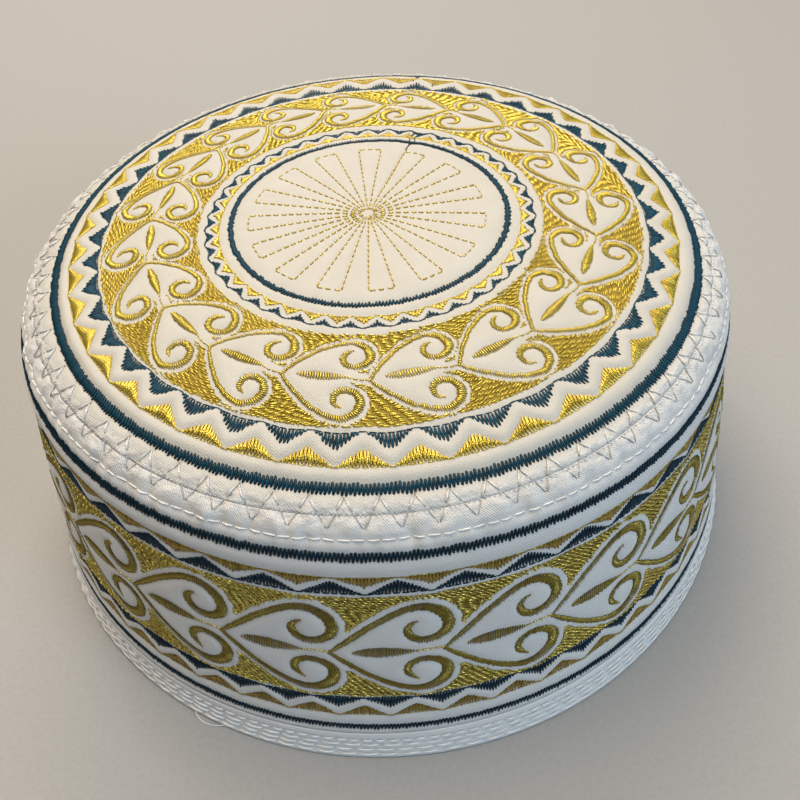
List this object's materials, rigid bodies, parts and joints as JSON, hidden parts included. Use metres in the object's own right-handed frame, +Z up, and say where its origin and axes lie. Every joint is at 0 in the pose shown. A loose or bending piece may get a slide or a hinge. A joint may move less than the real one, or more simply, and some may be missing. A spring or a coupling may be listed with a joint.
{
  "type": "prayer cap",
  "caption": "Stiff round embroidered prayer cap with a slightly domed top, puckered padded shoulder, side that widens downwards and a stitched hem.",
  "frame": {"origin": "middle of the round hem, on the surface that the cap rests on", "axes": "+Z up through the middle of the crown, -Y towards the front, +X to the wearer's left"},
  "size_m": [0.1824, 0.1824, 0.0773],
  "materials": {
    "crown_cloth": "cream white cotton twill, embroidered",
    "side_cloth": "cream white cotton twill under gold and navy embroidery",
    "hem_cloth": "white cotton twill, doubled and stitched"
  },
  "bodies": {
    "root": {"crown_panel": "crown_cloth", "side_panel": "side_cloth", "hem_band": "hem_cloth"}
  },
  "joints": []
}
